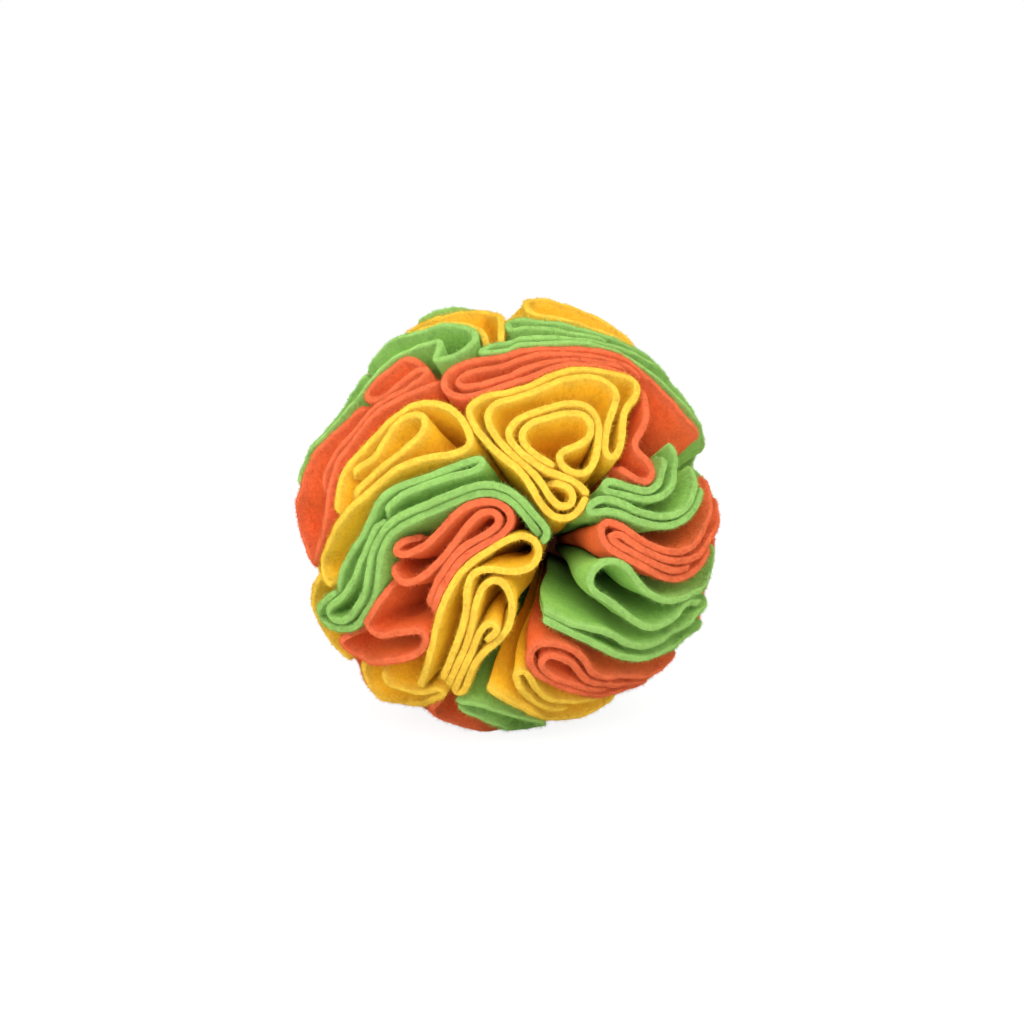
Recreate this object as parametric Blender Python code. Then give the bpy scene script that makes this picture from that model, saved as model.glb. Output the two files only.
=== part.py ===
"""Fleece snuffle ball: folded leaves of yellow, green and orange fleece gathered round a stitched core.

Every leaf is one sheet of fleece. Its outer edge, the rim, winds over the surface of the ball in folds,
and its cloth runs straight in from the rim to the core, where all the leaves are sewn down.
Metres, +Z up, the front of the ball faces -Y, origin on the floor below the middle of the ball.
"""
import math

import bmesh
import bpy
import numpy as np

# Sizes
ball_radius = 0.075
floor_settling = 0.004
fleece_thickness = 0.002
leaf_clearance = 0.00045
core_radius = 0.012
core_clearance = 0.0003
longest_step = 0.024
border_step = 0.003
dent_depth = 0.0075

# The front view in which the rims are drawn: pixels across and down, seen from slightly above
view_distance = 0.9
view_height_degrees = 12.0
view_middle = (508.0, 516.0)
view_ball_radius = 215.0
gathering_point = (548.0, 540.0)

# Outline of the ball in that view: angle from the right in degrees, radius in pixels
outline = [
    (0, 211), (5, 208), (10, 204), (15, 194), (20, 208), (25, 213), (30, 214), (35, 212),
    (40, 210), (45, 212), (50, 213), (55, 216), (60, 218), (65, 219), (70, 219), (75, 221),
    (80, 221), (86, 218), (90, 206), (95, 206), (100, 210), (105, 217), (110, 219), (115, 213),
    (120, 211), (125, 212), (130, 207), (135, 202), (140, 199), (145, 197), (150, 199),
    (155, 203), (160, 209), (165, 211), (170, 214), (175, 214), (180, 211), (185, 208),
    (190, 204), (195, 203), (200, 211), (205, 217), (210, 218), (215, 219), (220, 217),
    (225, 213), (230, 222), (235, 225), (240, 217), (245, 211), (250, 213), (255, 216),
    (260, 218), (265, 219), (270, 215), (275, 214), (280, 212), (285, 211), (290, 215),
    (295, 213), (300, 211), (305, 212), (310, 217), (315, 219), (320, 219), (325, 215),
    (330, 223), (335, 218), (340, 213), (345, 212), (350, 212), (355, 210), (360, 211),
]

# Colour, roughness and metallic value of each fleece
fleeces = {
    "yellow": ((0.98, 0.66, 0.05, 1.0), 0.95, 0.0),
    "green": ((0.36, 0.68, 0.13, 1.0), 0.95, 0.0),
    "orange": ((0.90, 0.17, 0.04, 1.0), 0.95, 0.0),
}
core_colour = ((0.45, 0.10, 0.03, 1.0), 0.95, 0.0)

# Rims of the front leaves, each from one end of the folded edge to the other
rims = {
    "yellow_leaf_1": [
        (551, 479), (562, 483), (572, 488), (578, 496), (574, 504), (564, 507), (554, 503),
        (547, 492), (541, 480), (530, 466), (514, 453), (499, 439), (489, 424), (487, 412),
        (494, 404), (508, 400), (526, 395), (547, 387), (562, 379), (580, 376), (600, 378),
        (611, 384), (617, 394), (613, 408), (608, 424), (603, 440), (602, 453), (609, 460),
        (617, 455), (622, 441), (623, 424), (625, 409), (632, 401), (638, 391), (634, 381),
        (620, 374), (600, 369), (580, 368), (560, 371), (545, 379), (528, 387), (508, 392),
        (490, 396), (473, 402), (467, 411), (471, 424), (486, 441), (503, 456), (520, 469),
        (531, 483), (537, 498), (547, 512), (561, 519), (574, 515), (583, 509), (587, 501),
    ],
    "yellow_leaf_2": [
        (553, 466), (545, 462), (536, 457), (523, 448), (516, 439), (518, 429), (527, 424),
        (541, 421), (556, 416), (570, 412), (582, 413), (590, 421), (591, 432), (586, 442),
        (575, 447), (563, 450), (555, 457), (558, 466), (568, 472), (580, 474), (591, 469),
        (597, 457), (600, 443), (600, 427), (595, 413), (586, 405), (573, 402), (556, 405),
        (538, 411), (520, 418), (510, 425), (508, 436), (516, 449), (531, 461), (546, 470),
        (560, 474), (573, 479), (582, 484), (587, 492),
    ],
    "orange_leaf_1": [
        (630, 371), (615, 366), (598, 363), (580, 362), (563, 364), (548, 370), (530, 377),
        (510, 383), (490, 389), (472, 394), (458, 396), (447, 391), (442, 382), (447, 372),
        (460, 365), (480, 359), (502, 354), (526, 349), (552, 346), (578, 348), (602, 352),
        (626, 361), (646, 374), (666, 393), (684, 414), (698, 434),
    ],
    "orange_leaf_2": [
        (625, 365), (603, 359), (580, 356), (560, 357), (540, 363), (518, 371), (495, 378),
        (475, 384), (461, 388), (453, 384), (455, 377), (468, 371), (488, 367), (510, 361),
        (532, 355), (554, 352), (578, 353), (602, 356), (624, 363), (640, 372),
    ],
    "orange_leaf_3": [
        (643, 379), (646, 397), (648, 413), (643, 430), (635, 445), (642, 455), (651, 462),
        (655, 472), (650, 481), (638, 478), (627, 471), (621, 459),
    ],
    "green_leaf_1": [
        (697, 412), (690, 400), (680, 388), (668, 377), (655, 366), (640, 357), (618, 348),
        (592, 341), (562, 338), (534, 339), (506, 342), (488, 347), (478, 352), (490, 353),
        (508, 348), (534, 345), (560, 344), (590, 347), (616, 354), (640, 366), (660, 381),
        (679, 399), (692, 416), (702, 434), (705, 447),
    ],
    "green_leaf_2": [
        (604, 337.5), (590, 335.5), (562, 330), (540, 327), (526, 327), (514, 330), (506, 326),
        (508, 319), (524, 319.5), (548, 322), (576, 327.5), (602, 333.5), (624, 342.5), (642, 352),
        (656, 361),
    ],
    "yellow_leaf_3": [
        (632, 345), (617, 336), (597, 327.5), (574, 320.5), (552, 316), (536, 312), (527, 305),
        (531, 299), (549, 298), (570, 303), (590, 311), (606, 320), (621, 331), (634, 342),
    ],
    "yellow_leaf_4": [
        (484, 340), (481, 331), (473, 325), (460, 321), (445, 322), (432, 326), (420, 330),
        (410, 334), (410, 328), (421, 323), (435, 318), (448, 314.5), (462, 312), (482, 311),
        (500, 315), (503, 326), (500, 338),
    ],
    "green_leaf_3": [
        (418, 319), (430, 312.5), (444, 308.5), (458, 306), (473, 305.5), (488, 307), (472, 300),
        (450, 300), (430, 306),
    ],
    "green_leaf_4": [
        (301, 482), (305, 462), (317, 443), (333, 424), (349, 405), (365, 389), (380, 370),
        (398, 355), (416, 347), (432, 342), (441, 344), (438, 351), (440, 359), (451, 354),
        (464, 347), (477, 341), (477, 334), (466, 328), (450, 324), (434, 326), (414, 332),
        (396, 341), (380, 353.5), (368, 368),
    ],
    "green_leaf_5": [
        (362, 376), (353, 387), (341, 401), (327, 418), (312, 438), (300, 461),
    ],
    "orange_leaf_4": [
        (321, 500), (324, 486), (325, 473), (331, 457), (347, 440), (361, 420), (377, 404),
        (396, 393.5), (412, 386), (425, 378), (431, 371), (421, 367), (409, 375), (396, 386),
        (385, 394), (372, 399), (364, 394), (376, 381), (392, 368), (408, 358), (418, 357),
        (421, 362),
    ],
    "orange_leaf_5": [
        (438, 372), (436, 381), (424, 387), (406, 393), (388, 402), (372, 414), (358, 432),
        (345, 449), (335, 464), (332, 480), (328, 497), (325, 515), (318, 540), (313, 563),
        (303, 540), (297, 515), (301, 487), (309, 463), (323, 444), (341, 426), (355, 410),
        (363, 402),
    ],
    "yellow_leaf_5": [
        (332, 589), (326, 578), (321, 566), (324, 552), (329, 540), (341, 518), (360, 499),
        (382, 480), (402, 465), (430, 457), (455, 452), (470, 449), (473, 440), (468, 427),
        (457, 414), (443, 405), (428, 402), (412, 405), (393, 419), (376, 435), (357, 456),
        (345, 472), (338, 495), (335, 515),
    ],
    "yellow_leaf_6": [
        (350, 501), (358, 488), (378, 469), (398, 452), (414, 439), (427, 428), (424, 418),
        (414, 412), (402, 416), (390, 428), (382, 440), (377, 455), (362, 463), (348, 472),
    ],
    "yellow_leaf_7": [
        (315, 578), (312, 598), (314, 612), (321, 631), (332, 647), (346, 659), (335, 655),
        (321, 642), (310, 624), (305, 602), (306, 588),
    ],
    "green_leaf_6": [
        (325, 601), (332, 593), (339, 582), (341, 566), (352, 548), (364, 527), (375, 505),
        (390, 490), (412, 481), (435, 474), (458, 464), (478, 459), (487, 461), (485, 469),
        (474, 469), (458, 472), (438, 482), (416, 489), (398, 497), (384, 511),
    ],
    "green_leaf_7": [
        (552, 536), (540, 524), (528, 508), (514, 494), (498, 487), (478, 486), (458, 492),
        (438, 502), (418, 510), (400, 516), (388, 526), (378, 540), (372, 556), (371, 573),
        (366, 590), (356, 606), (342, 612), (331, 611), (338, 603), (348, 590), (354, 574),
        (363, 552), (373, 532),
    ],
    "green_leaf_8": [
        (318, 607), (322, 618), (331, 627), (343, 631), (356, 628), (366, 612), (374, 594),
        (379, 575), (378, 560), (384, 542), (395, 528), (412, 519), (434, 510), (456, 500),
        (476, 494), (495, 494), (510, 501), (524, 515), (536, 530), (545, 541),
    ],
    "orange_leaf_6": [
        (387, 553), (394, 550), (404, 552), (420, 548), (434, 538), (445, 524), (458, 512),
        (474, 503), (490, 500), (504, 505), (510, 517), (508, 530), (496, 540), (480, 547),
        (464, 558), (453, 571), (443, 587), (436, 604), (431, 620),
    ],
    "orange_leaf_7": [
        (424, 614), (430, 599), (438, 583), (448, 567), (460, 551), (474, 539), (490, 532),
        (500, 525), (502, 514), (495, 507), (482, 510), (470, 522), (459, 536), (448, 550),
        (436, 564), (422, 576), (407, 584), (395, 580), (387, 571), (385, 562),
    ],
    "orange_leaf_8": [
        (387, 590), (383, 603), (376, 615), (369, 626), (372, 634), (390, 632), (408, 633),
        (422, 629), (430, 635), (425, 650), (405, 658), (380, 662), (361, 658), (348, 650),
        (340, 640), (346, 634),
    ],
    "yellow_leaf_8": [
        (421, 692), (425, 672), (429, 648), (434, 624), (440, 603), (448, 585), (459, 570),
        (476, 557), (495, 546), (508, 538), (524, 535), (536, 541), (540, 554), (534, 566),
        (520, 572), (500, 571), (480, 569), (470, 577), (467, 590), (467, 606), (463, 625),
        (456, 645), (448, 666), (440, 688),
    ],
    "yellow_leaf_9": [
        (447, 692), (456, 672), (464, 651), (470, 632), (474, 612), (477, 597), (484, 585),
        (494, 580), (504, 585), (511, 597), (512, 612), (506, 628), (497, 641), (486, 651),
        (476, 662), (468, 675), (461, 688), (453, 694), (458, 680), (466, 664), (473, 648),
        (478, 634), (485, 624), (494, 621), (500, 627), (496, 635), (487, 641),
    ],
    "yellow_leaf_10": [
        (362, 665), (365, 677), (372, 689), (385, 698), (402, 704), (420, 704.5), (434, 701),
        (446, 692), (434, 690), (418, 693), (400, 690), (384, 682), (376, 672),
    ],
    "green_leaf_9": [
        (672, 444), (676, 453), (676, 470), (673, 486), (662, 496), (645, 499), (628, 495),
        (612, 488), (600, 487), (606, 481), (620, 483), (635, 489), (650, 490), (660, 483),
        (665, 468), (668, 452),
    ],
    "green_leaf_10": [
        (692, 468), (696, 480), (692, 497), (684, 510), (668, 516), (648, 514), (628, 507),
        (612, 500), (600, 498), (590, 504), (588, 515), (598, 509), (610, 510), (625, 516),
        (645, 523), (665, 526), (682, 521), (694, 508), (703, 490),
    ],
    "orange_leaf_9": [
        (705, 478), (710, 492), (712, 510), (706, 530), (695, 545), (680, 552), (660, 549),
        (640, 541), (625, 530), (612, 521), (602, 524), (603, 536), (612, 548), (630, 558),
        (650, 569), (672, 579), (692, 574), (705, 560), (710, 545),
    ],
    "orange_leaf_10": [
        (716, 500), (717, 520), (712, 538), (703, 553), (688, 560), (668, 560), (648, 552),
        (632, 543), (620, 534), (612, 531), (613, 541), (625, 550), (642, 558), (660, 567),
        (677, 571), (690, 566),
    ],
    "green_leaf_11": [
        (717, 548), (714, 570), (706, 586), (688, 597), (672, 602), (655, 597), (640, 584),
        (628, 568), (616, 560), (602, 563), (592, 574), (590, 588), (602, 596), (618, 608),
        (635, 622), (655, 629), (674, 620), (686, 606), (702, 603),
    ],
    "green_leaf_12": [
        (709, 600), (696, 617), (680, 631), (664, 641), (646, 648), (628, 645), (612, 635),
        (594, 630), (572, 625), (552, 618), (547, 613),
    ],
    "green_leaf_13": [
        (547, 621), (562, 629), (582, 639), (604, 649), (626, 658), (648, 659), (670, 650),
        (688, 636), (701, 624),
    ],
    "orange_leaf_11": [
        (676, 657), (664, 669), (648, 676), (625, 677), (603, 678), (592, 674), (586, 662),
        (574, 653), (560, 646), (546, 643), (532, 650), (530, 664), (540, 677), (556, 686),
        (576, 692), (598, 697), (622, 690), (645, 683),
    ],
    "orange_leaf_12": [
        (645, 681), (630, 684), (608, 685), (594, 684), (582, 678), (576, 668), (564, 660),
        (550, 655), (541, 660), (544, 671), (556, 679), (572, 685), (588, 690), (607, 691),
    ],
    "yellow_leaf_11": [
        (489, 690), (505, 699), (528, 710), (552, 719), (576, 716), (598, 707), (612, 697),
    ],
    "yellow_leaf_12": [
        (600, 701), (578, 705), (556, 703), (540, 695), (530, 682), (524, 671), (516, 674),
        (519, 688), (530, 702), (547, 711), (565, 712),
    ],
    "green_leaf_14": [
        (458, 703), (470, 702), (486, 708), (506, 714), (526, 719), (542, 721), (534, 727),
        (514, 729), (494, 723), (474, 715), (460, 709),
    ],
    "orange_leaf_13": [
        (452, 690), (446, 702), (430, 706), (438, 716), (456, 724), (476, 730), (498, 733),
        (515, 733),
    ],
}

# Leaves of the back, in rings round the middle of the back. Each ring has the angle where it
# starts and ends from that middle (None: where the front leaves begin), its number of leaves,
# the folds of each leaf, whether they run round the ring, and the angle of its first leaf.
back_rings = [
    (15.0, 47.0, 5, 6, False, 20.0),
    (50.0, None, 10, 7, True, 0.0),
]
back_colours = ["orange", "green", "yellow", "orange", "yellow", "green", "orange", "yellow"]
fold_spread = 0.0055
fold_places = (0.0, 0.5, 1.0)
block_middle_degrees = 20.0
fold_bow_share = 0.5
fold_unevenness_share = 0.18
back_margin = 0.004
border_window_degrees = 9.0
drift_share = 0.12
drift_waves = 6.0
drift_phases = (1.4, 3.1, 0.5)
curl_start_degrees = 2.5
curl_end_degrees = 12.5
curl_points = 18
curl_turns = 2.3

# Share of the view's ball radius past which a rim is drawn over the edge of the ball,
# and the turn over the edge for a share of the radius more
edge_share = 0.97
edge_degrees = 25.0
edge_spread_share = 0.06

# Width of the dent at the gathering point, in radians
dent_width = 0.22

# Size of the back leaves on the ball, so that none shows past the front ones
back_size_share = 0.985

# Spacing of the layers: steps, the first of them held near the drawn rims, steps between two
# searches for neighbours, and shares of the pitch within which layers count as neighbours or as one
spacing_steps = 200
anchored_steps = 60
search_steps = 8
anchor_share = 0.02
push_share = 0.56
neighbour_share = 2.2
same_layer_share = 1.45
overshoot_share = 1.02
least_distance_share = 0.01

# Longest mitre of a rim's corner, halvings of a distance search, passes of the outline search
corner_limit = 1.2
halvings = 30
outline_passes = 6
core_segments = 24

view_height = math.radians(view_height_degrees)
to_right = np.array([1.0, 0.0, 0.0])
to_top = np.array([0.0, math.sin(view_height), math.cos(view_height)])
to_viewer = np.array([0.0, -math.cos(view_height), math.sin(view_height)])
pixel = ball_radius / view_ball_radius
ball_middle = np.array([0.0, 0.0, ball_radius - floor_settling])
gathering = (
    ball_middle
    + to_right * (gathering_point[0] - view_middle[0]) * pixel
    - to_top * (gathering_point[1] - view_middle[1]) * pixel
)


def unit(vectors):
    """Scale each row to length one."""
    return vectors / np.linalg.norm(vectors, axis=-1, keepdims=True)


def ball_share(directions):
    """Distance of the ball's surface from its middle, as a share of the ball radius."""
    across = directions @ to_right
    upward = directions @ to_top
    angle = np.degrees(np.arctan2(upward, across)) % 360.0
    angles, radii = np.array(outline, float).T
    swelling = np.interp(angle, angles, radii) / view_ball_radius - 1.0
    sideways = np.clip(across ** 2 + upward ** 2, 0.0, 1.0)
    offset = gathering - ball_middle
    dent = unit(offset + to_viewer * math.sqrt(ball_radius ** 2 - offset @ offset))
    turn = np.arccos(np.clip(directions @ dent, -1.0, 1.0))
    depth = dent_depth / ball_radius * np.exp(-((turn / dent_width) ** 2))
    return (1.0 + swelling * sideways ** 2) * (1.0 - depth)


def view_directions(points, share):
    """Directions from the ball's middle to the points drawn in the view, on a ball of that share."""
    across = (points[:, 0] - view_middle[0]) / view_ball_radius
    upward = (view_middle[1] - points[:, 1]) / view_ball_radius
    radius = np.hypot(across, upward) / share
    edge_slope = ball_radius / math.sqrt(view_distance ** 2 - ball_radius ** 2)
    slope = np.arctan(np.minimum(radius, edge_share) * edge_slope)
    turn = np.arcsin(np.clip(np.sin(slope) * view_distance / ball_radius, -1.0, 1.0)) - slope
    beyond = np.clip(radius - edge_share, 0.0, None)
    turn = turn + beyond * math.radians(edge_degrees) / edge_spread_share
    angle = np.arctan2(upward, across)
    return (
        np.outer(np.sin(turn) * np.cos(angle), to_right)
        + np.outer(np.sin(turn) * np.sin(angle), to_top)
        + np.outer(np.cos(turn), to_viewer)
    )


def on_ball(points):
    """Directions from the ball's middle at which the drawn points meet its uneven surface."""
    points = np.array(points, float)
    share = np.ones(len(points))
    for _ in range(outline_passes):
        directions = view_directions(points, share)
        share = (share + ball_share(directions)) / 2.0
    return directions


def from_gathering(directions):
    """The same surface points as directions from the gathering point of the cloth."""
    surface = ball_middle + directions * (ball_radius * ball_share(directions))[:, None]
    return unit(surface - gathering)


def reach(directions, size_share=1.0):
    """Distance from the gathering point to the surface of a ball of that share, or to the floor."""
    near = np.zeros(len(directions))
    far = np.full(len(directions), 2.0 * ball_radius)
    for _ in range(halvings):
        middle = (near + far) / 2.0
        offset = gathering + middle[:, None] * directions - ball_middle
        distance = np.linalg.norm(offset, axis=1)
        inside = distance < size_share * ball_radius * ball_share(offset / distance[:, None])
        near = np.where(inside, middle, near)
        far = np.where(inside, far, middle)
    falling = directions[:, 2] < 0.0
    floor = np.where(falling, -gathering[2] / np.where(falling, directions[:, 2], -1.0), np.inf)
    return np.minimum((near + far) / 2.0, floor)


def nearest(points, starts, ends):
    """Share along each segment of the place nearest to each point."""
    along = ends - starts
    share = np.sum((points - starts) * along, axis=-1) / np.sum(along * along, axis=-1)
    return np.clip(share, 0.0, 1.0)


def filled_in(line, longest=longest_step):
    """Add points along the steps of a rim that are too long to follow the ball."""
    pieces = []
    for start, end in zip(line[:-1], line[1:]):
        count = math.ceil(ball_radius * np.linalg.norm(end - start) / longest)
        share = np.arange(count)[:, None] / count
        pieces.append(start + share * (end - start))
    pieces.append(line[-1:])
    return unit(np.concatenate(pieces))


def back_directions(turn, angle):
    """Directions from the ball's middle: turn from the middle of the back, angle round it."""
    directions = (
        np.outer(np.cos(turn), -to_viewer)
        + np.outer(np.sin(turn) * np.cos(angle), to_right)
        + np.outer(np.sin(turn) * np.sin(angle), to_top)
    )
    drift = np.sin(drift_waves * np.roll(directions, 1, axis=1) + np.array(drift_phases))
    fade = np.clip(np.cos(turn), 0.0, 1.0)
    return unit(directions + drift_share * fade[:, None] * drift)


def front_border(lines):
    """How far from the middle of the back the front leaves begin, at each degree round it."""
    spots = np.concatenate([filled_in(line, border_step) for line in lines])
    spots = unit(gathering + spots * reach(spots)[:, None] - ball_middle)
    angle = np.degrees(np.arctan2(spots @ to_top, spots @ to_right)) % 360.0
    turn = np.arccos(spots @ -to_viewer)
    border = np.full(360, math.pi)
    for degree in range(360):
        near = abs((angle - degree + 180.0) % 360.0 - 180.0) < border_window_degrees
        border[degree] = turn[near].min() - back_margin / ball_radius
    return border


def at_angle(edge, angle):
    """The edge of a ring at an angle round the middle of the back."""
    return np.interp(np.degrees(angle) % 360.0, np.arange(len(edge)), edge)


def folded_block(inner, outer, start, end, folds, around, wobble):
    """A rim folded to and fro over one block of a ring; inner and outer are its edges at each degree."""
    across = []
    along = []
    for fold in range(folds):
        row = fold / (folds - 1.0)
        places = np.array(fold_places)
        bow = fold_bow_share / folds * np.sin(math.pi * places)
        bow = bow + fold_unevenness_share / folds * wobble.uniform(-1.0, 1.0, len(places))
        if fold % 2 == 1:
            places = places[::-1]
        across.extend(row + bow * (0.0 < row < 1.0))
        along.extend(places)
    across = np.array(across)
    along = np.array(along)
    round_share, out_share = (along, across) if around else (across, along)
    angle = start + round_share * (end - start)
    low = at_angle(inner, angle)
    turn = low + out_share * (at_angle(outer, angle) - low)
    return back_directions(turn, angle)


def back_lines(front):
    """Rims of the back leaves: rings of folded blocks round one curled leaf."""
    border = front_border(front)
    border = np.append(border, border[:1])
    counts = {colour: sum(name.startswith(colour) for name in rims) for colour in fleeces}
    wobble = np.random.default_rng(7)
    shapes = []
    for inner, outer, leaves, folds, around, first in back_rings:
        low = np.full(len(border), math.radians(inner))
        high = border if outer is None else np.full(len(border), math.radians(outer))
        middle_turn = math.radians(inner + block_middle_degrees)
        inset = fold_spread / (2.0 * ball_radius * math.sin(middle_turn))
        for leaf in range(leaves):
            start = math.radians(first + 360.0 * leaf / leaves) + inset
            end = math.radians(first + 360.0 * (leaf + 1) / leaves) - inset
            flipped = around if leaf % 2 == 0 else not around
            shapes.append(folded_block(low, high, start, end, folds, flipped, wobble))
    share = np.linspace(0.0, 1.0, curl_points)
    turn = np.radians(curl_start_degrees + share * (curl_end_degrees - curl_start_degrees))
    shapes.append(back_directions(turn, 2.0 * math.pi * curl_turns * share))
    lines = {}
    for index, shape in enumerate(shapes):
        colour = back_colours[index % len(back_colours)]
        counts[colour] += 1
        lines[f"{colour}_leaf_{counts[colour]}"] = filled_in(from_gathering(shape))
    return lines


def rim_lines():
    """All rims, front and back, as directions from the gathering point."""
    lines = {}
    for name, points in rims.items():
        lines[name] = filled_in(from_gathering(on_ball(points)))
    lines.update(back_lines(list(lines.values())))
    return lines


def spaced(lines, layer_pitch):
    """Move the rims apart along the ball until no two layers of cloth are closer than the pitch."""
    counts = [len(line) for line in lines]
    spots = np.concatenate(lines)
    drawn = spots.copy()
    owner = np.repeat(np.arange(len(lines)), counts)
    step = np.linalg.norm(np.diff(spots, axis=0), axis=1)
    travel = np.concatenate([[0.0], np.cumsum(step)])
    first = np.nonzero(owner[:-1] == owner[1:])[0]
    for turn in range(spacing_steps):
        if turn % search_steps == 0:
            wanted = layer_pitch / reach(spots)
            pitch = wanted.max()
            middle = (spots[first] + spots[first + 1]) / 2.0
            half = np.linalg.norm(spots[first + 1] - spots[first], axis=1) / 2.0
            apart = np.linalg.norm(spots[:, None] - middle[None], axis=2)
            point, segment = np.nonzero(apart < half[None] + neighbour_share * pitch)
            start = first[segment]
            detour = np.minimum(abs(travel[point] - travel[start]), abs(travel[point] - travel[start + 1]))
            touching = (point == start) | (point == start + 1) | (detour < same_layer_share * pitch)
            free = (owner[point] != owner[start]) | ~touching
            point = point[free]
            start = start[free]
        share = nearest(spots[point], spots[start], spots[start + 1])
        opposite = spots[start] + share[:, None] * (spots[start + 1] - spots[start])
        gap = spots[point] - unit(opposite)
        distance = np.maximum(np.linalg.norm(gap, axis=1), least_distance_share * pitch)
        pitches = wanted[point]
        close = distance < pitches
        if not close.any():
            break
        share = share[close]
        wanting = overshoot_share * pitches[close] - distance[close]
        push = gap[close] * (wanting / distance[close])[:, None]
        move = np.zeros_like(spots)
        weight = np.zeros(len(spots))
        for index, part, sign in (
            (point[close], np.ones(len(share)), 1.0),
            (start[close], 1.0 - share, -1.0),
            (start[close] + 1, share, -1.0),
        ):
            np.add.at(move, index, sign * push * part[:, None])
            np.add.at(weight, index, part)
        spots = spots + push_share * move / np.maximum(weight, 1.0)[:, None]
        if turn < anchored_steps:
            spots = spots + anchor_share * (drawn - spots)
        spots = unit(spots)
    return np.split(spots, np.cumsum(counts)[:-1])


def side_offsets(line):
    """Sideways step from each point of a rim to the face of its cloth, mitred at the corners."""
    along = unit(np.diff(line, axis=0))
    before = np.vstack([along[:1], along])
    after = np.vstack([along, along[-1:]])
    sides = unit(np.cross(before, line)) + unit(np.cross(after, line))
    corner = np.linalg.norm(sides, axis=1) / 2.0
    stretch = 1.0 / np.maximum(corner, 1.0 / corner_limit)
    return unit(sides) * (stretch * fleece_thickness / (2.0 * reach(line)))[:, None]


def make_material(name, colour, roughness, metallic):
    """One Principled material."""
    material = bpy.data.materials.new(name)
    material.use_nodes = True
    shader = material.node_tree.nodes["Principled BSDF"]
    shader.inputs["Base Color"].default_value = colour
    shader.inputs["Roughness"].default_value = roughness
    shader.inputs["Metallic"].default_value = metallic
    return material


def add_object(name, mesh, place, look):
    """Link a named object with its own material."""
    part = bpy.data.objects.new(name, mesh)
    part.location = place
    mesh.materials.append(make_material(name + "_fleece", *look))
    bpy.context.scene.collection.objects.link(part)
    return part


def make_leaf(name, line):
    """One sheet of cloth from its rim down to the core, its origin at the gathering point."""
    offset = side_offsets(line)
    tip = core_radius + core_clearance
    left = unit(line - offset)
    right = unit(line + offset)
    size_share = 1.0 if name in rims else back_size_share
    top_left = left * reach(left, size_share)[:, None]
    top_right = right * reach(right, size_share)[:, None]
    rings = [left * tip, top_left, top_right, right * tip]
    count = len(line)
    mesh = bpy.data.meshes.new(name)
    points = [tuple(point) for ring in rings for point in ring]
    faces = []
    for ring in range(4):
        following = (ring + 1) % 4
        for index in range(count - 1):
            low = ring * count + index
            high = following * count + index
            faces.append((low, low + 1, high + 1, high))
    faces.append((0, count, 2 * count, 3 * count))
    faces.append((4 * count - 1, 3 * count - 1, 2 * count - 1, count - 1))
    mesh.from_pydata(points, [], faces)
    shell = bmesh.new()
    shell.from_mesh(mesh)
    bmesh.ops.recalc_face_normals(shell, faces=shell.faces)
    shell.to_mesh(mesh)
    shell.free()
    look = fleeces[name.split("_")[0]]
    return add_object(name, mesh, tuple(gathering), look)


def make_core():
    """The ball to which the leaves are sewn."""
    mesh = bpy.data.meshes.new("stitched_core")
    shell = bmesh.new()
    rows = core_segments // 2
    bmesh.ops.create_uvsphere(shell, u_segments=core_segments, v_segments=rows, radius=core_radius)
    for face in shell.faces:
        face.smooth = True
    shell.to_mesh(mesh)
    shell.free()
    add_object("stitched_core", mesh, tuple(gathering), core_colour)


def build():
    """Empty the scene and make every piece."""
    for old in list(bpy.data.objects):
        bpy.data.objects.remove(old, do_unlink=True)
    make_core()
    lines = rim_lines()
    pitch = fleece_thickness + leaf_clearance
    for name, line in zip(lines, spaced(list(lines.values()), pitch)):
        make_leaf(name, line)


build()
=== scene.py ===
import math

import bpy
import numpy as np
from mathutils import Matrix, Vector, kdtree


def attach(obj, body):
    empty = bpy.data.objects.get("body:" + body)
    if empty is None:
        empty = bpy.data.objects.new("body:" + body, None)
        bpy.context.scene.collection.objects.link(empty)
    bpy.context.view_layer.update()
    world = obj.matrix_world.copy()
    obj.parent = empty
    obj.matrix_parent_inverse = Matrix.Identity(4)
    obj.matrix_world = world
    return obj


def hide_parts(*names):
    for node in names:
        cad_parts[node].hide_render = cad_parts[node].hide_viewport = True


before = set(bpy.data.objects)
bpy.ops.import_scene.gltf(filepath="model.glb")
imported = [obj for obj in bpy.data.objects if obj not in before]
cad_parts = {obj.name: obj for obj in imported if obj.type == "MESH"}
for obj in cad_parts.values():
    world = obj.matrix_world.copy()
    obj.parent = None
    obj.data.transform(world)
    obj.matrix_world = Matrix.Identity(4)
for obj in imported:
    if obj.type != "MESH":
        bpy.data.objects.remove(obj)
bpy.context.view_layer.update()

# Sizes
ball_radius = 0.075
floor_settling = 0.004
fleece_thickness = 0.002
leaf_clearance = 0.00045
core_radius = 0.012
core_clearance = 0.0003
longest_step = 0.024
border_step = 0.003
dent_depth = 0.0075

# Cloth: thickness at the face, least distance between the middles of two layers, steps along a rim, the
# turn that takes a step more, fine steps over which it is averaged, fewest steps, and height off the floor
sheet_thickness = 0.00225
sheet_pitch = 0.00245
rim_step = 0.0022
fine_step = 0.0003
straight_step = 0.0018
bend_step_degrees = 17.0
smoothing_points = 5
least_stations = 4
floor_gap = 0.0001

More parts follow.
